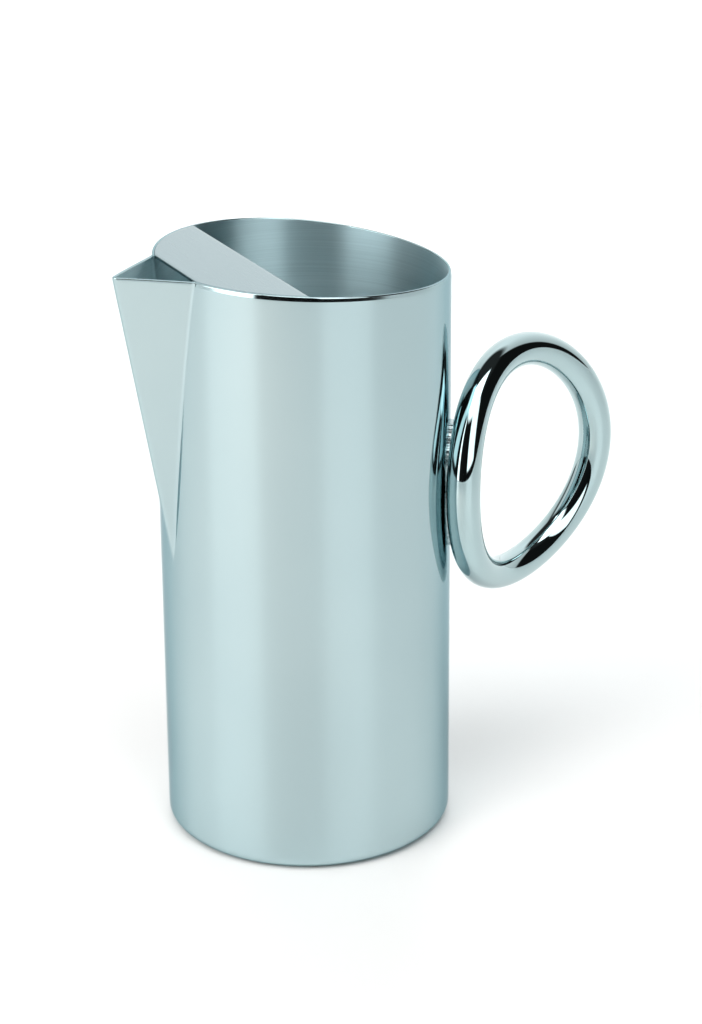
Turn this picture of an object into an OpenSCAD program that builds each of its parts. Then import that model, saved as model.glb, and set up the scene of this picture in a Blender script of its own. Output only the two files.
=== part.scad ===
// Water pitcher: a straight round body with an obliquely cut rim, a folded V spout,
// an ice guard across the mouth, and a bowed ring handle brazed to the side.
// Millimetres. The origin is the centre of the base, +Z is up, the spout points to -X
// and the ring handle's outermost point lies towards +X.

/* [Body] */
// Outside diameter of the round body
body_d = 105; // [84:0.5:130]
// Height of the rim above the table, on the body's axis
rim_h = 215.1; // [175:0.1:262]
// Thickness of the body wall
wall = 1.2; // [0.9:0.05:1.6]
// Slope of the rim where it crosses the body's axis, in degrees, rising to the spout
rim_slope = 4.75; // [2:0.1:7]
// Radius of the long arc that the rim is cut along
rim_arc_r = 800; // [640:5:1500]

/* [Base pan] */
// Thickness of the flat bottom
base_t = 1.4; // [1:0.1:2]
// Outside radius of the corner between bottom and side
corner_r = 4.4; // [3:0.1:6]
// Height of the pan's side, up to the seam with the body tube
pan_h = 9; // [8:0.5:14]
// Radius of the braze bead inside that seam
base_bead_r = 0.8; // [0.5:0.1:1.2]

/* [Spout] */
// Distance from the body's axis to the outside of the spout's tip
spout_reach = 71.6; // [66:0.1:86]
// Depth of the spout's lowest point below the rim
spout_len = 105.6; // [86:0.1:128]
// Half of the angle that the spout takes out of the body at the rim, seen from the axis
spout_mouth = 20.7; // [17:0.1:24]
// Outside radius of the fold along the nose
nose_r = 2; // [1.4:0.1:2.6]
// Thickness of the spout sheet
spout_wall = 1.2; // [0.9:0.05:1.3]
// Thickness of the braze left in the crease beside the body
spout_braze_t = 0.35; // [0.2:0.05:0.6]

/* [Ice guard] */
// Thickness of the guard plate
guard_t = 1.2; // [0.8:0.1:2]
// Distance from the body's axis to the guard's rear edge
guard_rear = 20.1; // [12:0.5:30]
// Height and width of the braze under the guard's ends
guard_braze = 0.9; // [0.5:0.1:1.4]

/* [Ring handle] */
// Radius of the ring, to the middle of its bar
ring_r = 41.9; // [34:0.1:50]
// Diameter of the round bar
bar_d = 12.2; // [9:0.1:15]
// How far the ring bows out of its own plane, each way
ring_bow = 3.9; // [2:0.1:5]
// Depth of the ring's centre below the rim
ring_drop = 85.5; // [72:0.5:100]
// Heading at which the ring touches the body, in degrees from +X
ring_touch = -42.8; // [-50:0.1:-30]
// Heading of the ring's plane, in degrees from +X
ring_heading = 24.9; // [18:0.1:32]
// Lean of the ring's plane over the body, in degrees
ring_lean = 0.9; // [0:0.1:2]
// Gap that the braze fills between bar and body
ring_gap = 0.2; // [0.15:0.01:0.4]

/* [Handle braze] */
// Width of the braze along the contact
braze_w = 5; // [3:0.1:7]
// Where the braze starts, in degrees round the ring from its outermost point
braze_from = 142; // [130:1:165]
// Where the braze ends
braze_to = 209; // [195:1:225]

/* [Hidden] */

$fn = 180;
rim_sides = 720;
corner_sides = 96;
bead_sides = 48;
body_r = body_d / 2;
body_ri = body_r - wall;

// The rim is cut by a long horizontal cylinder that lies along Y.
arc_x = rim_arc_r * sin(rim_slope);
arc_z = rim_h - rim_arc_r * cos(rim_slope);
function rim_at(out) = arc_z + sqrt(pow(rim_arc_r, 2) - pow(out - arc_x, 2));

// The two walls run from the nose to the sides of the opening in the body.
spout_half_angle = atan(body_ri * sin(spout_mouth) / (spout_reach - body_ri * cos(spout_mouth)));

// The nose is a straight line that leans out from the body's side.
foot_z = rim_h - spout_len;
spout_lean = atan((spout_reach - body_r) / (rim_at(spout_reach) - foot_z));
fold_half = atan(tan(spout_half_angle) / cos(spout_lean));
fold_ri = nose_r - spout_wall;
sheet_len = spout_reach * cos(spout_half_angle);
fold_steps = 6;
function flip(p) = [p[0], -p[1]];
over_top = 30;
prism_len = spout_len + 2 * over_top;

// The guard's front edge ends where the spout's walls meet the inside of the body.
apex_in = (nose_r - fold_ri / sin(fold_half)) / cos(spout_lean);
apex_x = spout_reach - apex_in;
junction_s = apex_x * cos(spout_half_angle)
    - sqrt(pow(body_ri, 2) - pow(apex_x * sin(spout_half_angle), 2));
guard_front = apex_x - junction_s * cos(spout_half_angle);

// The ring stands on the body at one heading, and its plane turns away from there.
bar_r = bar_d / 2;
ring_u = [cos(ring_heading), sin(ring_heading), 0];
up = [0, 0, 1];
ring_side = [-sin(ring_heading), cos(ring_heading), 0];
ring_v = cos(ring_lean) * up + sin(ring_lean) * ring_side;
ring_n = cos(ring_lean) * ring_side - sin(ring_lean) * up;
touch_dir = [cos(ring_touch), sin(ring_touch), 0];
leg_mid = (body_r + ring_gap + bar_r) * touch_dir + (rim_h - ring_drop) * up;
ring_c = leg_mid + ring_r * ring_u + ring_bow * ring_n;
ring_steps = 96;
bar_sides = 20;

function ring_mid(a) = ring_c + ring_r * (cos(a) * ring_u + sin(a) * ring_v)
    - ring_bow * cos(2 * a) * ring_n;
function ring_dir(a) = unit(ring_r * (cos(a) * ring_v - sin(a) * ring_u)
    + 2 * ring_bow * sin(2 * a) * ring_n);
function unit(v) = v / norm(v);
function ring_out(a) = unit(cross(cross(ring_dir(a), cos(a) * ring_u + sin(a) * ring_v),
    ring_dir(a)));
function bar_point(a, b) = ring_mid(a) + bar_r * (cos(b) * ring_out(a)
    + sin(b) * cross(ring_dir(a), ring_out(a)));

web_rows = 18;
web_half = 2;
braze_bite = 0.06;

module under_rim(drop = 0) {
    translate([-arc_x, 0, arc_z])
        rotate([90, 0, 0])
            cylinder(r = rim_arc_r - drop, h = 2 * body_d, center = true, $fn = rim_sides);
}

module fold_outline(r) {
    turn = 90 - fold_half;
    side = [-sin(fold_half), cos(fold_half)];
    run = [cos(fold_half), sin(fold_half)];
    fold = [for (i = [-fold_steps:fold_steps])
        let (a = turn * i / fold_steps)
        r * [-cos(a), sin(a)]];
    polygon(concat(
        [flip(sheet_len * run + r * side)],
        fold,
        [sheet_len * run + r * side]
    ));
}

module fold_prism(r) {
    translate([-body_r, 0, foot_z])
        rotate([0, -spout_lean, 0])
            translate([nose_r, 0, -over_top])
                linear_extrude(height = prism_len)
                    fold_outline(r);
}

module full_round(r) {
    cylinder(r = r, h = rim_h + over_top);
}

module base_pan() {
    color("silver")
        rotate_extrude()
            difference() {
                pan_outline(0, corner_r, pan_h);
                translate([0, base_t])
                    pan_outline(wall, corner_r - wall, pan_h);
            }
}

module pan_outline(inset, r, h) {
    square([body_r - inset - r, h]);
    translate([0, r])
        square([body_r - inset, h - r]);
    translate([body_r - inset - r, r])
        circle(r = r, $fn = corner_sides);
}

module base_braze() {
    color("gainsboro")
        rotate_extrude()
            translate([body_ri, pan_h])
                intersection() {
                    circle(r = base_bead_r, $fn = bead_sides);
                    translate([-base_bead_r, -base_bead_r])
                        square([base_bead_r, 2 * base_bead_r]);
                }
}

module body_tube() {
    color("silver")
        intersection() {
            difference() {
                translate([0, 0, pan_h])
                    full_round(body_r);
                full_round(body_ri);
                fold_prism(fold_ri);
            }
            under_rim();
        }
}

module spout() {
    color("silver")
        intersection() {
            difference() {
                fold_prism(nose_r);
                fold_prism(fold_ri);
                full_round(body_r);
            }
            under_rim();
        }
}

module spout_braze() {
    color("gainsboro")
        intersection() {
            full_round(body_r + spout_braze_t);
            difference() {
                fold_prism(nose_r + spout_braze_t);
                fold_prism(nose_r);
                full_round(body_r);
            }
            under_rim();
        }
}

module between_guard_edges() {
    translate([-guard_front, -body_d / 2, 0])
        cube([guard_front - guard_rear, body_d, rim_h + over_top]);
}

module ice_guard() {
    color("lightsteelblue")
        intersection() {
            full_round(body_ri);
            between_guard_edges();
            difference() {
                under_rim();
                under_rim(guard_t);
            }
        }
}

module guard_braze_left() {
    guard_end_braze(-1);
}

module guard_braze_right() {
    guard_end_braze(1);
}

module guard_end_braze(side) {
    color("gainsboro")
        intersection() {
            difference() {
                full_round(body_ri);
                full_round(body_ri - guard_braze);
            }
            between_guard_edges();
            difference() {
                under_rim(guard_t);
                under_rim(guard_t + guard_braze);
            }
            translate([-body_d, side > 0 ? 0 : -body_d, 0])
                cube([2 * body_d, body_d, rim_h + over_top]);
        }
}

module ring_handle() {
    step = 360 / ring_steps;
    points = [for (i = [0:ring_steps - 1], j = [0:bar_sides - 1])
        bar_point(i * step, j * 360 / bar_sides)];
    sides = [for (i = [0:ring_steps - 1], j = [0:bar_sides - 1], half = [0, 1])
        let (
            here = i * bar_sides,
            next = ((i + 1) % ring_steps) * bar_sides,
            k = (j + 1) % bar_sides
        )
        half == 0 ? [here + j, next + j, next + k] : [here + j, next + k, here + k]];
    color("silver")
        polyhedron(points, sides, convexity = 6);
}

// The braze is one web: each row runs across it on the body's side and back on the bar's side.
function web_row(a) =
    let (
        mid = ring_mid(a),
        out = unit([mid[0], mid[1], 0]),
        along = cross(up, out),
        heading = atan2(out[1], out[0]),
        body_turn = asin(braze_w / 2 / body_r),
        bar_turn = asin(braze_w / 2 / bar_r)
    )
    concat(
        [for (k = [-web_half:web_half])
            let (t = heading + body_turn * k / web_half)
            [body_r * cos(t), body_r * sin(t), mid[2]]],
        [for (k = [web_half:-1:-web_half])
            let (t = bar_turn * k / web_half)
            mid - (bar_r - braze_bite) * (cos(t) * out - sin(t) * along)]
    );

module handle_braze() {
    row = 4 * web_half + 2;
    points = [for (i = [0:web_rows])
        each web_row(braze_from + (braze_to - braze_from) * i / web_rows)];
    sides = [for (i = [0:web_rows - 1], j = [0:row - 1], half = [0, 1])
        let (
            here = i * row,
            next = here + row,
            k = (j + 1) % row
        )
        half == 0 ? [here + j, next + j, next + k] : [here + j, next + k, here + k]];
    color("gainsboro")
        polyhedron(points, concat(
            sides,
            [[for (j = [0:row - 1]) j]],
            [[for (j = [row - 1:-1:0]) web_rows * row + j]]
        ), convexity = 4);
}

base_pan();
base_braze();
body_tube();
spout();
spout_braze();
ice_guard();
guard_braze_left();
guard_braze_right();
ring_handle();
handle_braze();
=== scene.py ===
"""A silver water pitcher: a straight round body with a folded spout, an ice guard and a bowed ring handle."""

import math

import bmesh
import bpy
from mathutils import Matrix, Vector, noise


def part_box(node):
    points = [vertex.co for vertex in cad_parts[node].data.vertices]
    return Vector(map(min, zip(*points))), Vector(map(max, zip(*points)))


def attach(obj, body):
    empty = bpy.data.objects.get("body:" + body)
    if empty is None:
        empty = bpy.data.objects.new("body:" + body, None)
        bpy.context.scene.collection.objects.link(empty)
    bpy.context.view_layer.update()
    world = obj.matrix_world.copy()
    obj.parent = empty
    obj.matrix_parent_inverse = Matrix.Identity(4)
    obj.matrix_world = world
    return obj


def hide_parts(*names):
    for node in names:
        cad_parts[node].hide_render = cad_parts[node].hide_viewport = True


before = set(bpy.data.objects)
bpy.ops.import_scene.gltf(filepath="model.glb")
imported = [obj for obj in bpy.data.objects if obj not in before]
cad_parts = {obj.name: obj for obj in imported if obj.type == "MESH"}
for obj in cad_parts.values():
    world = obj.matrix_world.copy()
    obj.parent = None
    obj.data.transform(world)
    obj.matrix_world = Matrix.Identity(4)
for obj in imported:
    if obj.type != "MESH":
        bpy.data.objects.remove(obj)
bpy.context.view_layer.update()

# ---------------------------------------------------------------------------------------
# Table and studio.
# A white satin table top, lit from above by one square softbox and from the front by two
# tall panels with black flags between them, as silver is usually lit.


def linear(hex_colour):
    """sRGB hex to the linear colour that the shaders take."""
    parts = [int(hex_colour[i : i + 2], 16) / 255 for i in (1, 3, 5)]
    return [c / 12.92 if c <= 0.04045 else ((c + 0.055) / 1.055) ** 2.4 for c in parts] + [1.0]


def add(tree, kind, links=None, **settings):
    """Adds a node; each setting is an attribute or the value of an input, each link an output."""
    new = tree.nodes.new(kind)
    for name, value in settings.items():
        if hasattr(new, name):
            setattr(new, name, value)
        else:
            new.inputs[name.replace("_", " ")].default_value = value
    for name, source in (links or {}).items():
        tree.links.new(source, new.inputs[name])
    return new


def material(name):
    """A new material whose tree holds nothing but its output."""
    made = bpy.data.materials.new(name)
    made.use_nodes = True
    made.node_tree.nodes.clear()
    return made, made.node_tree, add(made.node_tree, "ShaderNodeOutputMaterial")


TABLE_HALF = 9.0
TABLE_WHITE = "#EEF1F1"

satin, tree, out = material("white_satin_laminate")
grain = add(tree, "ShaderNodeTexNoise", Scale=900.0, Detail=2.0)
grain_bump = add(tree, "ShaderNodeBump", {"Height": grain.outputs[0]}, Strength=0.02, Distance=0.0001)
shader = add(
    tree,
    "ShaderNodeBsdfPrincipled",
    {"Normal": grain_bump.outputs[0]},
    Base_Color=linear(TABLE_WHITE),
    Roughness=0.42,
    IOR=1.5,
)
tree.links.new(shader.outputs[0], out.inputs["Surface"])

bm = bmesh.new()
corners = [(-1, -1), (1, -1), (1, 1), (-1, 1)]
bm.faces.new([bm.verts.new((TABLE_HALF * x, TABLE_HALF * y, -0.0002)) for x, y in corners])
mesh = bpy.data.meshes.new("table")
bm.to_mesh(mesh)
bm.free()
table = bpy.data.objects.new("table", mesh)
bpy.context.scene.collection.objects.link(table)
mesh.materials.append(satin)

world = bpy.data.worlds.new("studio")
bpy.context.scene.world = world
world.use_nodes = True
sky = world.node_tree
sky.nodes.clear()
where = add(sky, "ShaderNodeTexCoord")
axes = add(sky, "ShaderNodeSeparateXYZ", {0: where.outputs["Generated"]})
heading = add(sky, "ShaderNodeMath", {0: axes.outputs["Y"], 1: axes.outputs["X"]}, operation="ARCTAN2")
turn = add(sky, "ShaderNodeMapRange", {"Value": heading.outputs[0]}, From_Min=-math.pi, From_Max=math.pi)

# The room by heading in degrees from +X: how bright its walls are, a third of the real light.
WALLS = [
    (-180, 1.0), (-153, 1.0), (-150, 0.004), (-104, 0.002), (-60, 0.003), (-3, 0.003),
    (0, 0.25), (45, 0.43), (60, 0.44), (90, 0.37), (112, 0.27), (116, 0.05),
    (126, 0.05), (130, 0.32), (163, 0.31), (167, 1.0), (180, 1.0),
]
walls = add(sky, "ShaderNodeValToRGB", {0: turn.outputs[0]})
ramp = walls.color_ramp
while len(ramp.elements) < len(WALLS):
    ramp.elements.new(0.5)
for stop, (degrees, light) in zip(ramp.elements, WALLS):
    stop.position = (degrees + 180) / 360
for stop, (degrees, light) in zip(ramp.elements, WALLS):
    stop.color = (light, light, light, 1)

# The tall panel beside the camera stands clear of the table.
PANEL_LEFT = -101
PANEL_RIGHT = -62
PANEL_LOW = 7
PANEL_SOFT = 1.5
PANEL_LIGHT = 0.75
panel_left = add(sky, "ShaderNodeMapRange", {"Value": heading.outputs[0]}, interpolation_type="SMOOTHSTEP",
                 From_Min=math.radians(PANEL_LEFT - PANEL_SOFT),
                 From_Max=math.radians(PANEL_LEFT + PANEL_SOFT))
panel_right = add(sky, "ShaderNodeMapRange", {"Value": heading.outputs[0]}, interpolation_type="SMOOTHSTEP",
                  From_Min=math.radians(PANEL_RIGHT + PANEL_SOFT),
                  From_Max=math.radians(PANEL_RIGHT - PANEL_SOFT))
panel_low = add(sky, "ShaderNodeMapRange", {"Value": axes.outputs["Z"]}, interpolation_type="SMOOTHSTEP",
                From_Min=math.sin(math.radians(PANEL_LOW - PANEL_SOFT)),
                From_Max=math.sin(math.radians(PANEL_LOW + PANEL_SOFT)))
across = add(sky, "ShaderNodeMath", {0: panel_left.outputs[0], 1: panel_right.outputs[0]},
             operation="MULTIPLY")
panel = add(sky, "ShaderNodeMath", {0: across.outputs[0], 1: panel_low.outputs[0]}, operation="MULTIPLY")
panel_light = add(sky, "ShaderNodeMath", {0: panel.outputs[0]}, operation="MULTIPLY")
panel_light.inputs[1].default_value = PANEL_LIGHT
with_panel = add(sky, "ShaderNodeMath", {0: walls.outputs[0], 1: panel_light.outputs[0]}, operation="MAXIMUM")

# The walls fade into the dark ceiling between these two heights, in degrees. The softbox is
# square, and its place and half its width are shares of its height above the table.
WALLS_END = 49
CEILING_FROM = 60
SOFTBOX_HEADING = -107
SOFTBOX_HALF = 0.43
SOFTBOX_OUT = 0.46
SOFTBOX_SOFT = 0.03
SOFTBOX_LIGHT = 1.25
CEILING_LIGHT = 0.01
BELOW_LIGHT = 0.3
ROOM_LIGHT = 3.0
ceiling = add(sky, "ShaderNodeMapRange", {"Value": axes.outputs["Z"]}, interpolation_type="SMOOTHSTEP",
              From_Min=math.sin(math.radians(WALLS_END)), From_Max=math.sin(math.radians(CEILING_FROM)))
over = add(sky, "ShaderNodeVectorRotate", {"Vector": where.outputs["Generated"]}, rotation_type="Z_AXIS",
           Angle=math.radians(-SOFTBOX_HEADING))
over_axes = add(sky, "ShaderNodeSeparateXYZ", {0: over.outputs[0]})
height = add(sky, "ShaderNodeMath", {0: over_axes.outputs["Z"]}, operation="MAXIMUM")
height.inputs[1].default_value = 0.01
run_out = add(sky, "ShaderNodeMath", {0: over_axes.outputs["X"], 1: height.outputs[0]}, operation="DIVIDE")
run_side = add(sky, "ShaderNodeMath", {0: over_axes.outputs["Y"], 1: height.outputs[0]}, operation="DIVIDE")
off_centre = add(sky, "ShaderNodeMath", {0: run_out.outputs[0]}, operation="SUBTRACT")
off_centre.inputs[1].default_value = SOFTBOX_OUT
far_out = add(sky, "ShaderNodeMath", {0: off_centre.outputs[0]}, operation="ABSOLUTE")
far_side = add(sky, "ShaderNodeMath", {0: run_side.outputs[0]}, operation="ABSOLUTE")
farthest = add(sky, "ShaderNodeMath", {0: far_out.outputs[0], 1: far_side.outputs[0]}, operation="MAXIMUM")
softbox = add(sky, "ShaderNodeMapRange", {"Value": farthest.outputs[0]}, interpolation_type="SMOOTHSTEP",
              From_Min=SOFTBOX_HALF + SOFTBOX_SOFT, From_Max=SOFTBOX_HALF - SOFTBOX_SOFT,
              To_Min=CEILING_LIGHT, To_Max=SOFTBOX_LIGHT)
room = add(sky, "ShaderNodeMix",
           {"Factor": ceiling.outputs[0], "A": with_panel.outputs[0], "B": softbox.outputs[0]})
below = add(sky, "ShaderNodeMath", {0: axes.outputs["Z"]}, operation="LESS_THAN")
below.inputs[1].default_value = 0.0
lit = add(sky, "ShaderNodeMix", {"Factor": below.outputs[0], "A": room.outputs[0]}, B=BELOW_LIGHT)
light = add(sky, "ShaderNodeBackground", {"Color": lit.outputs[0]}, Strength=ROOM_LIGHT)
plain = add(sky, "ShaderNodeBackground", Color=linear("#FAFBFB"), Strength=1.0)
seen = add(sky, "ShaderNodeLightPath")
mixed = add(sky, "ShaderNodeMixShader",
            {0: seen.outputs["Is Camera Ray"], 1: light.outputs[0], 2: plain.outputs[0]})
add(sky, "ShaderNodeOutputWorld", {"Surface": mixed.outputs[0]})
bpy.context.scene.view_settings.view_transform = "Standard"

# A wide lamp far behind keeps the table there as white as it is round the pitcher.
back_light = bpy.data.lights.new("back_lamp", "AREA")
back_light.shape = "DISK"
back_light.size = 1.2
back_light.energy = 7.0
back = bpy.data.objects.new("back_lamp", back_light)
bpy.context.scene.collection.objects.link(back)
back.location = (0.62, 1.25, 1.3)
back.visible_glossy = False
back.visible_camera = False

# A soft lamp to the front left lights that side of the table a little more. Silver shows
# the table, not the lamp itself.
lamp_light = bpy.data.lights.new("table_lamp", "AREA")
lamp_light.shape = "DISK"
lamp_light.size = 0.5
lamp_light.energy = 1.42
lamp_light.color = linear("#FFD6C4")[:3]
lamp = bpy.data.objects.new("table_lamp", lamp_light)
bpy.context.scene.collection.objects.link(lamp)
lamp.location = (-0.62, -0.30, 0.55)
lamp.rotation_euler = (Vector((-0.35, -0.12, 0)) - lamp.location).to_track_quat("-Z", "Y").to_euler()
lamp.visible_glossy = False
lamp.visible_camera = False

# ---------------------------------------------------------------------------------------
# Camera.
# A long lens on a stand to the front left of the spout, looking 22 degrees down at the body.

CAMERA_PLACE = (-0.43760, -0.90220, 0.52521)
CAMERA_PITCH = 22.0989
CAMERA_ROLL = -0.4351
CAMERA_TURN = -26.8224
SENSOR = 36.0
FOCAL = 105.1

roll = math.radians(CAMERA_ROLL)
pitch = math.radians(CAMERA_PITCH)
right = Vector((math.cos(roll), math.sin(roll) * math.sin(pitch), math.sin(roll) * math.cos(pitch)))
down = Vector((math.sin(roll), -math.cos(roll) * math.sin(pitch), -math.cos(roll) * math.cos(pitch)))
ahead = Vector((0, math.cos(pitch), -math.sin(pitch)))
aim = Matrix((right, -down, -ahead)).transposed().to_4x4()
lens = bpy.data.cameras.new("camera")
lens.sensor_width = SENSOR
lens.lens = FOCAL
lens.clip_end = 60
camera = bpy.data.objects.new("camera", lens)
bpy.context.scene.collection.objects.link(camera)
camera.matrix_world = (
    Matrix.Translation(CAMERA_PLACE) @ Matrix.Rotation(math.radians(CAMERA_TURN), 4, "Z") @ aim
)
bpy.context.scene.camera = camera

# ---------------------------------------------------------------------------------------
# Body tube.
# Silver sheet rolled into a tube, its seam filed away. The rim is cut along a long arc that
# rises to the spout, and a tall V is sawn out of the wall where the spout is brazed on.

MM = 0.001
BODY_R = (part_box("base_pan")[1].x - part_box("base_pan")[0].x) / 2
WALL = 1.2 * MM
TUBE_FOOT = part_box("body_tube")[0].z
RIM_ARC = 0.8
RIM_SLOPE = math.radians(4.75)
RIM_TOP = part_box("spout")[1].z
LIP_TALL = 0.45 * MM
LIP_DEEP = 0.35 * MM
LIP_INSIDE = 0.35 * MM
TAPER_TALL = 1.5 * MM
TAPER_EASE = 0.5 * MM
TAPER_SLOPE = math.radians(10.8)
SPOUT_REACH = -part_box("spout")[0].x
SPOUT_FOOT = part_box("spout")[0].z
NOSE_R = 2.0 * MM
FOLD_IN = NOSE_R - WALL
MOUTH = math.radians(20.7)
HALF_ANGLE = math.atan2((BODY_R - WALL) * math.sin(MOUTH), SPOUT_REACH - (BODY_R - WALL) * math.cos(MOUTH))


def rim(x):
    """Height of the rim's cut above the table at x."""
    return RIM_TOP - RIM_ARC + math.sqrt(RIM_ARC**2 - (-x - RIM_ARC * math.sin(RIM_SLOPE)) ** 2)


LEAN = (SPOUT_REACH - BODY_R) / (rim(-SPOUT_REACH) - SPOUT_FOOT)
COS_LEAN = 1 / math.sqrt(1 + LEAN**2)
FOLD_HALF = math.atan(math.tan(HALF_ANGLE) / COS_LEAN)


def fold(u, r, z):
    """The point of the spout's outline of fold radius r at height z, a length u from its nose."""
    arc = r * (math.pi / 2 - FOLD_HALF)
    if u < arc:
        px, py = -r * math.cos(u / r), r * math.sin(u / r)
    else:
        px = -r * math.sin(FOLD_HALF) + (u - arc) * math.cos(FOLD_HALF)
        py = r * math.cos(FOLD_HALF) + (u - arc) * math.sin(FOLD_HALF)
    return -BODY_R - LEAN * (z - SPOUT_FOOT) + (NOSE_R + px) / COS_LEAN, py


def meets(r, z, round_r):
    """The length u at which that outline runs into a circle of radius round_r, or 0."""
    low, high = 0.0, 0.045
    if math.hypot(*fold(low, r, z)) <= round_r:
        return 0.0
    for _ in range(26):
        mid = (low + high) / 2
        if math.hypot(*fold(mid, r, z)) > round_r:
            low = mid
        else:
            high = mid
    return high


def notch(z, round_r):
    """Half of the angle that the V takes out of the wall at height z."""
    u = meets(FOLD_IN, z, round_r)
    if u == 0.0:
        return 0.0
    x, y = fold(u, FOLD_IN, z)
    return math.atan2(y, -x)


def surface(bm, rows, closed=False, slot=0):
    """Joins rows of points with quads. A row's points are bmesh vertices."""
    for a, b in zip(rows, rows[1:]):
        span = range(len(a)) if closed else range(len(a) - 1)
        for i in span:
            j = (i + 1) % len(a)
            corners = list(dict.fromkeys((a[i], a[j], b[j], b[i])))
            if len(corners) > 2:
                bm.faces.new(corners).material_index = slot


def finish_piece(name, bm, nodes, materials, sharp=35):
    """Makes the mesh a smooth-shaded object that stands for its nodes and rides on the body."""
    bmesh.ops.remove_doubles(bm, verts=bm.verts, dist=2e-6)
    bmesh.ops.dissolve_degenerate(bm, edges=bm.edges, dist=1e-6)
    bmesh.ops.recalc_face_normals(bm, faces=bm.faces)
    mesh = bpy.data.meshes.new(name)
    bm.to_mesh(mesh)
    bm.free()
    mesh.shade_smooth()
    mesh.set_sharp_from_angle(angle=math.radians(sharp))
    for made in materials:
        mesh.materials.append(made)
    piece = bpy.data.objects.new(name, mesh)
    bpy.context.scene.collection.objects.link(piece)
    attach(piece, "root")
    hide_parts(*nodes)
    return piece


COLUMNS = 200
LOWER_ROWS = 10
UPPER_ROWS = 60
LIP_STEPS = 9


def wall_point(side, s, t, round_r, drop):
    """A point of the wall: s runs from the V round to the back, t from the V's foot to the rim."""
    z = SPOUT_FOOT + t * (RIM_TOP - drop - SPOUT_FOOT)
    for _ in range(4):
        cut = notch(z, round_r)
        heading = math.pi - side * (cut + s * (math.pi - cut))
        x, y = round_r * math.cos(heading), round_r * math.sin(heading)
        z = SPOUT_FOOT + t * (rim(x) - drop - SPOUT_FOOT)
    return x, y, z


def lip(tall, deep, inside, wall, taper, ease):
    """The edge as (depth in from the outside, fall below the top), outside to inside.
    A taper from buffing comes first, eased in from the wall, then the rounded edge."""
    quarter = [math.pi / 2 * k / LIP_STEPS for k in range(1, LIP_STEPS + 1)]
    lean = math.tan(TAPER_SLOPE)
    over = []
    for k in range(1, 2 * LIP_STEPS + 1):
        up = taper * k / (2 * LIP_STEPS)
        over.append((lean * (up**2 / 2 / ease if up < ease else up - ease / 2), tall + taper - up))
    set_back = over[-1][0]
    for a in quarter:
        b = TAPER_SLOPE + (math.pi / 2 - TAPER_SLOPE) * a / (math.pi / 2)
        in_share = (math.cos(TAPER_SLOPE) - math.cos(b)) / math.cos(TAPER_SLOPE)
        up_share = (math.sin(b) - math.sin(TAPER_SLOPE)) / (1 - math.sin(TAPER_SLOPE))
        over.append((set_back + deep * in_share, tall * (1 - up_share)))
    back = [(wall - inside * (1 - math.cos(a)), inside * (1 - math.sin(a))) for a in reversed(quarter)]
    return over + back


bm = bmesh.new()
for side in (-1, 1):
    shares = [(k / COLUMNS) for k in range(COLUMNS + 1)]
    faces_of = []
    for round_r, drop in ((BODY_R, LIP_TALL + TAPER_TALL), (BODY_R - WALL, LIP_INSIDE)):
        rows = []
        for k in range(LOWER_ROWS):
            z = TUBE_FOOT + (SPOUT_FOOT - TUBE_FOOT) * k / LOWER_ROWS
            rows.append([bm.verts.new((round_r * math.cos(math.pi - side * s * math.pi),
                                       round_r * math.sin(math.pi - side * s * math.pi), z)) for s in shares])
        for k in range(UPPER_ROWS + 1):
            rows.append([bm.verts.new(wall_point(side, s, k / UPPER_ROWS, round_r, drop)) for s in shares])
        faces_of.append(rows)
    outer, inner = faces_of
    surface(bm, outer, slot=0)
    surface(bm, inner, slot=1)
    lip_rows = [outer[-1]]
    for depth, fall in lip(LIP_TALL, LIP_DEEP, LIP_INSIDE, WALL, TAPER_TALL, TAPER_EASE):
        lip_rows.append([bm.verts.new(wall_point(side, s, 1, BODY_R - depth, fall)) for s in shares])
    lip_rows.append(inner[-1])
    surface(bm, lip_rows, slot=0)
    surface(bm, [outer[0], inner[0]], slot=1)
    edge = []
    for row in outer[LOWER_ROWS:]:
        x, y, z = row[0].co
        edge.append(row[0] if abs(y) > 1e-6 else bm.verts.new((fold(0.0, FOLD_IN, z)[0], 0, z)))
    surface(bm, [edge, [row[0] for row in inner[LOWER_ROWS:]]], slot=1)
    bm.faces.new([row[0] for row in lip_rows]).material_index = 1

# Polished silver: a mirror with the faint soft marks of the buffing wheel, which run round
# the body and blur what it mirrors a little more up and down than across.
BUFF_MM = 0.35

polished, tree, out = material("polished_silver")
where = add(tree, "ShaderNodeTexCoord")
stretch = add(tree, "ShaderNodeMapping", {"Vector": where.outputs["Object"]})
stretch.inputs["Scale"].default_value = (60, 60, 1 / (BUFF_MM * MM))
buff = add(tree, "ShaderNodeTexNoise", {"Vector": stretch.outputs[0]}, Scale=1.0, Detail=3.0, Roughness=0.6)
cloud = add(tree, "ShaderNodeTexNoise", {"Vector": where.outputs["Object"]}, Scale=22.0, Detail=2.0)
haze = add(tree, "ShaderNodeMapRange", {"Value": cloud.outputs[0]}, From_Min=0.3, From_Max=0.7,
           To_Min=0.05, To_Max=0.08)
tone = add(tree, "ShaderNodeMix", {"Factor": cloud.outputs[0]}, data_type="RGBA")
tone.inputs["A"].default_value = linear("#AEC3C7")
tone.inputs["B"].default_value = linear("#B5C9CC")
marks = add(tree, "ShaderNodeBump", {"Height": buff.outputs[0]}, Strength=0.05, Distance=0.00002)
round_way = add(tree, "ShaderNodeTangent", direction_type="RADIAL", axis="Z")
shader = add(
    tree,
    "ShaderNodeBsdfPrincipled",
    {"Base Color": tone.outputs["Result"], "Roughness": haze.outputs[0], "Normal": marks.outputs[0],
     "Tangent": round_way.outputs[0]},
    Metallic=1.0,
    Specular_Tint=linear("#B9CBD0"),
    Anisotropic=0.3,
    Anisotropic_Rotation=0.25,
)
tree.links.new(shader.outputs[0], out.inputs["Surface"])

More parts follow.
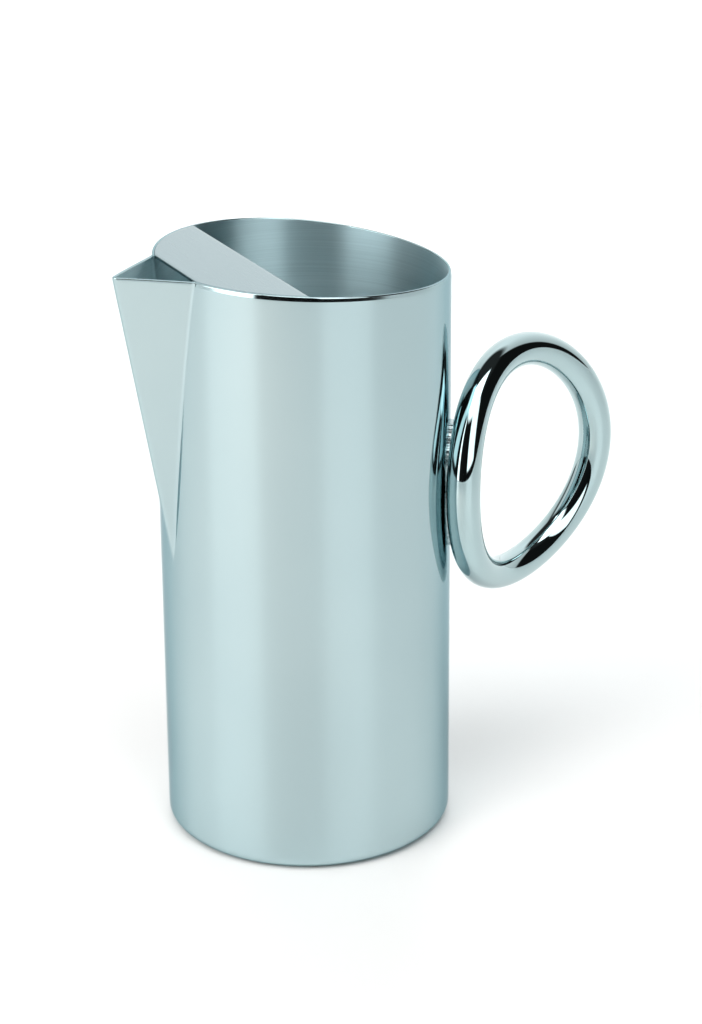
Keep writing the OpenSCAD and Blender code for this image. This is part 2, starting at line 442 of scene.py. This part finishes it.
# Inside, the wall is left as it came from the abrasive brush: fine lines round the body.
BRUSH_MM = 0.45

brushed, tree, out = material("brushed_silver")
where = add(tree, "ShaderNodeTexCoord")
stretch = add(tree, "ShaderNodeMapping", {"Vector": where.outputs["Object"]})
stretch.inputs["Scale"].default_value = (14, 14, 1 / (BRUSH_MM * MM))
lines = add(tree, "ShaderNodeTexNoise", {"Vector": stretch.outputs[0]}, Scale=1.0, Detail=5.0, Roughness=0.65)
rough = add(tree, "ShaderNodeMapRange", {"Value": lines.outputs[0]}, From_Min=0.3, From_Max=0.7,
            To_Min=0.40, To_Max=0.52)
tone = add(tree, "ShaderNodeMix", {"Factor": lines.outputs[0]}, data_type="RGBA")
tone.inputs["A"].default_value = linear("#A8C7CD")
tone.inputs["B"].default_value = linear("#D2EBF0")
marks = add(tree, "ShaderNodeBump", {"Height": lines.outputs[0]}, Strength=0.12, Distance=0.00002)
round_way = add(tree, "ShaderNodeTangent", direction_type="RADIAL", axis="Z")
shader = add(
    tree,
    "ShaderNodeBsdfPrincipled",
    {"Base Color": tone.outputs["Result"], "Roughness": rough.outputs[0], "Normal": marks.outputs[0],
     "Tangent": round_way.outputs[0]},
    Metallic=1.0,
    Anisotropic=0.95,
    Anisotropic_Rotation=0.25,
)
tree.links.new(shader.outputs[0], out.inputs["Surface"])

finish_piece("tube", bm, ["body_tube"], [polished, brushed])

# ---------------------------------------------------------------------------------------
# Base pan.
# A shallow pan pressed from silver sheet, with a flat bottom and a small rounded corner. It
# is brazed to the foot of the tube, and the seam outside is polished until it can't be seen.

BASE_T = 1.4 * MM
CORNER_R = 4.4 * MM
SPIN = 400


def pan_profile(inset, corner, floor_z):
    """Points from the middle of the floor out to the top of the side."""
    side_r = BODY_R - inset
    points = [(side_r * k / 8, floor_z) for k in range(8) if side_r * k / 8 < side_r - corner]
    for k in range(17):
        a = math.pi / 2 * k / 16
        points.append((side_r - corner + corner * math.sin(a), floor_z + corner * (1 - math.cos(a))))
    points.append((side_r, TUBE_FOOT))
    return points


def lathe(bm, profile, slot=0):
    """Turns a profile of (radius, height) points round the axis."""
    rows = []
    turns = [2 * math.pi * k / SPIN for k in range(SPIN)]
    for r, z in profile:
        if r > 0:
            rows.append([bm.verts.new((r * math.cos(a), r * math.sin(a), z)) for a in turns])
        else:
            rows.append([bm.verts.new((0, 0, z))] * SPIN)
    surface(bm, rows, closed=True, slot=slot)
    return rows


bm = bmesh.new()
outside = lathe(bm, pan_profile(0, CORNER_R, 0.0), slot=0)
inside = lathe(bm, pan_profile(WALL, CORNER_R - WALL, BASE_T), slot=1)
surface(bm, [outside[-1], inside[-1]], closed=True, slot=0)
finish_piece("pan", bm, ["base_pan"], [polished, brushed])

# ---------------------------------------------------------------------------------------
# Base braze.
# A thin bead of silver solder that ran along the inside of the seam between pan and tube.

BEAD_R = 0.8 * MM

solder, tree, out = material("silver_solder")
where = add(tree, "ShaderNodeTexCoord")
pits = add(tree, "ShaderNodeTexNoise", {"Vector": where.outputs["Object"]}, Scale=1400.0, Detail=4.0,
           Roughness=0.7)
flow = add(tree, "ShaderNodeTexNoise", {"Vector": where.outputs["Object"]}, Scale=380.0, Detail=2.0)
rough = add(tree, "ShaderNodeMapRange", {"Value": flow.outputs[0]}, From_Min=0.3, From_Max=0.7,
            To_Min=0.14, To_Max=0.32)
tone = add(tree, "ShaderNodeMix", {"Factor": pits.outputs[0]}, data_type="RGBA")
tone.inputs["A"].default_value = linear("#9DB1B4")
tone.inputs["B"].default_value = linear("#E0E9EA")
marks = add(tree, "ShaderNodeBump", {"Height": pits.outputs[0]}, Strength=0.5, Distance=0.0002)
shader = add(
    tree,
    "ShaderNodeBsdfPrincipled",
    {"Base Color": tone.outputs["Result"], "Roughness": rough.outputs[0], "Normal": marks.outputs[0]},
    Metallic=1.0,
)
tree.links.new(shader.outputs[0], out.inputs["Surface"])

bm = bmesh.new()
rows = []
for k in range(SPIN):
    a = 2 * math.pi * k / SPIN
    swell = 1 + 0.10 * math.sin(9 * a) * math.sin(23 * a + 1.3)
    row = []
    for j in range(9):
        b = math.pi / 2 + math.pi * j / 8
        r = BODY_R - WALL + BEAD_R * swell * math.cos(b)
        z = TUBE_FOOT + BEAD_R * swell * math.sin(b)
        row.append(bm.verts.new((r * math.cos(a), r * math.sin(a), z)))
    rows.append(row)
surface(bm, rows + rows[:1])
surface(bm, [[row[0] for row in rows], [row[-1] for row in rows]], closed=True)
finish_piece("base_bead", bm, ["base_braze"], [solder])

# ---------------------------------------------------------------------------------------
# Spout.
# One sheet of silver folded to a V with a small round nose and sawn to the rim's line. Its
# two edges are fitted to the round of the body and brazed to it.

NOSE_COLUMNS = 12
SIDE_COLUMNS = 24
SPOUT_ROWS = 80
SHEET_TALL = 0.45 * MM
SHEET_DEEP = 0.4 * MM
SHEET_TAPER = 0.7 * MM
SHEET_EASE = 0.4 * MM
SET_IN = 0.8 * MM


def foot_of(r):
    """Height at which the fold of radius r comes out of the body's surface."""
    return SPOUT_FOOT + (NOSE_R - r) / COS_LEAN / LEAN


def sheet_point(j, t, r, drop, round_r):
    """A point of the spout: j counts columns from the nose, t runs from its foot to the rim."""
    low = foot_of(r) + 1e-5
    z = low + t * (RIM_TOP - drop - low)
    for _ in range(5):
        end = meets(r, z, round_r)
        arc = min(end, r * (math.pi / 2 - FOLD_HALF))
        if abs(j) <= NOSE_COLUMNS:
            u = arc * abs(j) / NOSE_COLUMNS
        else:
            u = arc + (end - arc) * (abs(j) - NOSE_COLUMNS) / SIDE_COLUMNS
        x, y = fold(u, r, z)
        z = low + t * (rim(x) - drop - low)
    return x, math.copysign(y, j), z


bm = bmesh.new()
count = NOSE_COLUMNS + SIDE_COLUMNS
sheets = []
span = range(-count, count + 1)
for r, drop, round_r in ((NOSE_R, SHEET_TALL + SHEET_TAPER, BODY_R - SET_IN), (FOLD_IN, LIP_INSIDE, BODY_R)):
    sheets.append([[bm.verts.new(sheet_point(j, k / SPOUT_ROWS, r, drop, round_r)) for j in span]
                   for k in range(SPOUT_ROWS + 1)])
outer, inner = sheets
surface(bm, outer, slot=0)
surface(bm, inner, slot=1)
lip_rows = [outer[-1]]
for depth, fall in lip(SHEET_TALL, SHEET_DEEP, LIP_INSIDE, WALL, SHEET_TAPER, SHEET_EASE):
    round_r = BODY_R - SET_IN * (1 - depth / WALL)
    lip_rows.append([bm.verts.new(sheet_point(j, 1, NOSE_R - depth, fall, round_r)) for j in span])
lip_rows.append(inner[-1])
surface(bm, lip_rows, slot=0)
surface(bm, [outer[0], inner[0]], slot=0)
for end in (0, -1):
    surface(bm, [[row[end] for row in outer], [row[end] for row in inner]], slot=0)
    bm.faces.new([row[end] for row in lip_rows])
finish_piece("spout_sheet", bm, ["spout"], [polished, brushed])

# ---------------------------------------------------------------------------------------
# Spout braze.
# A fine fillet of silver solder in the crease where the spout's sheet meets the body,
# dressed smooth with the rest, so it shows as a soft bright line.

FILLET = 0.7 * MM
FILLET_BELOW_RIM = 0.3 * MM

bm = bmesh.new()
for side in (-1, 1):
    rows = []
    for k in range(2, SPOUT_ROWS + 1):
        t = k / SPOUT_ROWS
        z = foot_of(NOSE_R) + t * (rim(-BODY_R) - FILLET_BELOW_RIM - foot_of(NOSE_R))
        end = meets(NOSE_R, z, BODY_R)
        x, y = fold(end, NOSE_R, z)
        heading = math.atan2(y, x)
        on_body = heading - FILLET / BODY_R
        bx, by = BODY_R * math.cos(on_body), BODY_R * math.sin(on_body)
        sx, sy = fold(max(end - FILLET, 0.0), NOSE_R, z)
        row = []
        for j in range(7):
            f = j / 6
            px = (1 - f) ** 2 * bx + 2 * f * (1 - f) * x + f**2 * sx
            py = (1 - f) ** 2 * by + 2 * f * (1 - f) * y + f**2 * sy
            row.append(bm.verts.new((px, side * py, z)))
        root = bm.verts.new((x * 0.999, side * y * 0.999, z))
        rows.append(row + [root])
    surface(bm, rows, closed=True)
    bm.faces.new(rows[0])
    bm.faces.new(rows[-1])
finish_piece("spout_fillet", bm, ["spout_braze"], [polished])

# ---------------------------------------------------------------------------------------
# Ice guard.
# A flat strip of silver across the mouth behind the spout, cut to the round of the wall and
# filed level with the rim. Its face is finished to an even satin.

GUARD_T = 1.2 * MM
GUARD_EDGE = 0.3 * MM
GUARD_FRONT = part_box("ice_guard")[0].x
GUARD_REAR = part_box("ice_guard")[1].x
ACROSS = 60
DEEP = 24


def eased(half, count):
    """Stations from -half to half, closer together at both ends where the edge is rounded."""
    near = [0.0, 0.06 * MM, 0.15 * MM, GUARD_EDGE]
    middle = [-half + GUARD_EDGE + (2 * half - 2 * GUARD_EDGE) * k / count for k in range(1, count)]
    return [-half + d for d in near] + middle + [half - d for d in reversed(near)]


def edge_drop(d):
    """How far the rounded edge has fallen at a distance d in from the outline."""
    d = min(max(d, 0.0), GUARD_EDGE)
    return GUARD_EDGE - math.sqrt(GUARD_EDGE**2 - (GUARD_EDGE - d) ** 2)


bm = bmesh.new()
middle_x = (GUARD_FRONT + GUARD_REAR) / 2
depth = (GUARD_REAR - GUARD_FRONT) / 2
faces_of = []
for face in (1, -1):
    rows = []
    for a in eased(depth, DEEP):
        x = middle_x + a
        half = math.sqrt((BODY_R - WALL) ** 2 - x**2)
        row = []
        for y in eased(half, ACROSS):
            fall = max(edge_drop(depth - abs(a)), edge_drop(half - abs(y)))
            top = rim(x) - GUARD_T / 2
            row.append(bm.verts.new((x, y, top + face * (GUARD_T / 2 - fall))))
        rows.append(row)
    surface(bm, rows)
    faces_of.append(rows)
top, under = faces_of
surface(bm, [top[0], under[0]])
surface(bm, [top[-1], under[-1]])
surface(bm, [[row[0] for row in top], [row[0] for row in under]])
surface(bm, [[row[-1] for row in top], [row[-1] for row in under]])

satin_silver, tree, out = material("satin_silver")
where = add(tree, "ShaderNodeTexCoord")
stretch = add(tree, "ShaderNodeMapping", {"Vector": where.outputs["Object"]})
stretch.inputs["Scale"].default_value = (1 / (0.4 * MM), 50, 50)
lines = add(tree, "ShaderNodeTexNoise", {"Vector": stretch.outputs[0]}, Scale=1.0, Detail=4.0, Roughness=0.6)
rough = add(tree, "ShaderNodeMapRange", {"Value": lines.outputs[0]}, From_Min=0.3, From_Max=0.7,
            To_Min=0.22, To_Max=0.28)
tone = add(tree, "ShaderNodeMix", {"Factor": lines.outputs[0]}, data_type="RGBA")
tone.inputs["A"].default_value = linear("#8FA4A9")
tone.inputs["B"].default_value = linear("#94A9AE")
marks = add(tree, "ShaderNodeBump", {"Height": lines.outputs[0]}, Strength=0.08, Distance=0.00002)
shader = add(
    tree,
    "ShaderNodeBsdfPrincipled",
    {"Base Color": tone.outputs["Result"], "Roughness": rough.outputs[0], "Normal": marks.outputs[0]},
    Metallic=1.0,
)
tree.links.new(shader.outputs[0], out.inputs["Surface"])
finish_piece("guard", bm, ["ice_guard"], [satin_silver], sharp=60)

# ---------------------------------------------------------------------------------------
# Guard brazes.
# A small fillet of solder under each end of the guard, where it is brazed to the wall.

GUARD_FILLET = 0.9 * MM

for name, side in (("left", -1), ("right", 1)):
    bm = bmesh.new()
    wall_r = BODY_R - WALL
    start, stop = math.acos(GUARD_FRONT / wall_r), math.acos(GUARD_REAR / wall_r)
    rows = []
    for k in range(61):
        a = side * (start + (stop - start) * k / 60)
        swell = GUARD_FILLET * (0.92 + 0.08 * math.sin(17 * a + side) * math.sin(41 * a))
        x, y = wall_r * math.cos(a), wall_r * math.sin(a)
        z = rim(x) - GUARD_T
        row = [bm.verts.new((x, y, z))]
        for j in range(7):
            f = j / 6
            r_in = wall_r - swell * (1 - f) ** 2
            row.append(bm.verts.new((r_in * math.cos(a), r_in * math.sin(a), z - swell * f**2)))
        rows.append(row)
    surface(bm, rows, closed=True)
    bm.faces.new(rows[0])
    bm.faces.new(rows[-1])
    finish_piece(f"guard_bead_{name}", bm, [f"guard_braze_{name}"], [solder])

# ---------------------------------------------------------------------------------------
# Ring handle.
# A round silver bar bent to a ring and bowed out of its plane, so that it stands off the
# body like a loose bangle. It is polished to a full mirror all over.

RING_R = 41.9 * MM
BAR_R = 6.1 * MM
RING_BOW = 3.9 * MM
RING_GAP = 0.2 * MM
RING_TOUCH = math.radians(-42.8)
RING_HEADING = math.radians(24.9)
RING_LEAN = math.radians(0.9)
RING_STEPS = 320
BAR_SIDES = 56

ring_u = Vector((math.cos(RING_HEADING), math.sin(RING_HEADING), 0))
ring_side = Vector((-math.sin(RING_HEADING), math.cos(RING_HEADING), 0))
ring_v = math.cos(RING_LEAN) * Vector((0, 0, 1)) + math.sin(RING_LEAN) * ring_side
ring_n = math.cos(RING_LEAN) * ring_side - math.sin(RING_LEAN) * Vector((0, 0, 1))
ring_z = (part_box("ring_handle")[0].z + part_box("ring_handle")[1].z) / 2
leg = (BODY_R + RING_GAP + BAR_R) * Vector((math.cos(RING_TOUCH), math.sin(RING_TOUCH), 0))
ring_centre = leg + Vector((0, 0, ring_z)) + RING_R * ring_u + RING_BOW * ring_n


def ring_mid(a):
    """The middle of the bar, at an angle a round the ring from its outermost point."""
    spoke = math.cos(a) * ring_u + math.sin(a) * ring_v
    return ring_centre + RING_R * spoke - RING_BOW * math.cos(2 * a) * ring_n


bm = bmesh.new()
rows = []
for k in range(RING_STEPS):
    a = 2 * math.pi * k / RING_STEPS
    along = (ring_mid(a + 1e-4) - ring_mid(a - 1e-4)).normalized()
    spoke = math.cos(a) * ring_u + math.sin(a) * ring_v
    across = along.cross(spoke).normalized()
    outward = across.cross(along)
    rows.append([
        bm.verts.new(ring_mid(a) + BAR_R * (math.cos(2 * math.pi * j / BAR_SIDES) * outward
                                            + math.sin(2 * math.pi * j / BAR_SIDES) * across))
        for j in range(BAR_SIDES)
    ])
surface(bm, rows + rows[:1], closed=True)

# A full mirror: only hairlines from wiping, and hardly any haze.
HAIR_MM = 0.9

mirror, tree, out = material("mirror_silver")
where = add(tree, "ShaderNodeTexCoord")
hairs = add(tree, "ShaderNodeTexNoise", {"Vector": where.outputs["Object"]}, Scale=1 / (HAIR_MM * MM),
            Detail=4.0, Distortion=1.5)
cloud = add(tree, "ShaderNodeTexNoise", {"Vector": where.outputs["Object"]}, Scale=60.0, Detail=2.0)
haze = add(tree, "ShaderNodeMapRange", {"Value": cloud.outputs[0]}, From_Min=0.3, From_Max=0.7,
           To_Min=0.025, To_Max=0.045)
tone = add(tree, "ShaderNodeMix", {"Factor": cloud.outputs[0]}, data_type="RGBA")
tone.inputs["A"].default_value = linear("#ADC3C6")
tone.inputs["B"].default_value = linear("#B5CACC")
marks = add(tree, "ShaderNodeBump", {"Height": hairs.outputs[0]}, Strength=0.01, Distance=0.00001)
shader = add(
    tree,
    "ShaderNodeBsdfPrincipled",
    {"Base Color": tone.outputs["Result"], "Roughness": haze.outputs[0], "Normal": marks.outputs[0]},
    Metallic=1.0,
)
tree.links.new(shader.outputs[0], out.inputs["Surface"])
finish_piece("ring", bm, ["ring_handle"], [mirror])

# ---------------------------------------------------------------------------------------
# Handle braze.
# The web of silver solder between the ring's leg and the body. It is left as it flowed,
# with a rough, lumpy skin and ragged edges.

WEB_FROM = math.radians(142)
WEB_TO = math.radians(209)
WEB_WIDE = 5.0 * MM
WEB_BITE = 0.06 * MM
WEB_RAGGED = 0.22
WEB_RAG_LONG = 2.5 * MM
WEB_NARROWS = 0.8
WEB_NARROWS_OVER = 10 * MM
WEB_WIDE_FROM = ring_z + 14 * MM
CRINKLE_DEEP = 0.14 * MM
CRINKLE_LONG = 0.55 * MM
WEB_ROWS = 360
WEB_COLUMNS = 12
WEB_SEED = 5

noise.seed_set(WEB_SEED)
bm = bmesh.new()
rows = []
for k in range(WEB_ROWS + 1):
    a = WEB_TO + (WEB_FROM - WEB_TO) * k / WEB_ROWS
    mid = ring_mid(a)
    out_dir = Vector((mid.x, mid.y, 0)).normalized()
    side_dir = Vector((0, 0, 1)).cross(out_dir)
    turn_of = math.atan2(out_dir.y, out_dir.x)
    ragged = 1 + WEB_RAGGED * noise.noise((0, 0, mid.z / WEB_RAG_LONG))
    ragged *= 1 - WEB_NARROWS * min(max((WEB_WIDE_FROM - mid.z) / WEB_NARROWS_OVER, 0), 1)
    body_turn = math.asin(WEB_WIDE * ragged / 2 / BODY_R)
    bar_turn = math.asin(WEB_WIDE * ragged / 2 / BAR_R)
    row = []
    for j in range(-WEB_COLUMNS, WEB_COLUMNS + 1):
        b = turn_of + body_turn * j / WEB_COLUMNS
        row.append(bm.verts.new((BODY_R * math.cos(b), BODY_R * math.sin(b), mid.z)))
    for j in range(WEB_COLUMNS, -WEB_COLUMNS - 1, -1):
        b = bar_turn * j / WEB_COLUMNS
        row.append(bm.verts.new(mid - (BAR_R - WEB_BITE) * (math.cos(b) * out_dir - math.sin(b) * side_dir)))
    for v in row:
        v.co += CRINKLE_DEEP * noise.noise_vector(v.co / CRINKLE_LONG)
    rows.append(row)
surface(bm, rows, closed=True)
bm.faces.new(rows[0])
bm.faces.new(rows[-1])
finish_piece("ring_bead", bm, ["handle_braze"], [solder])
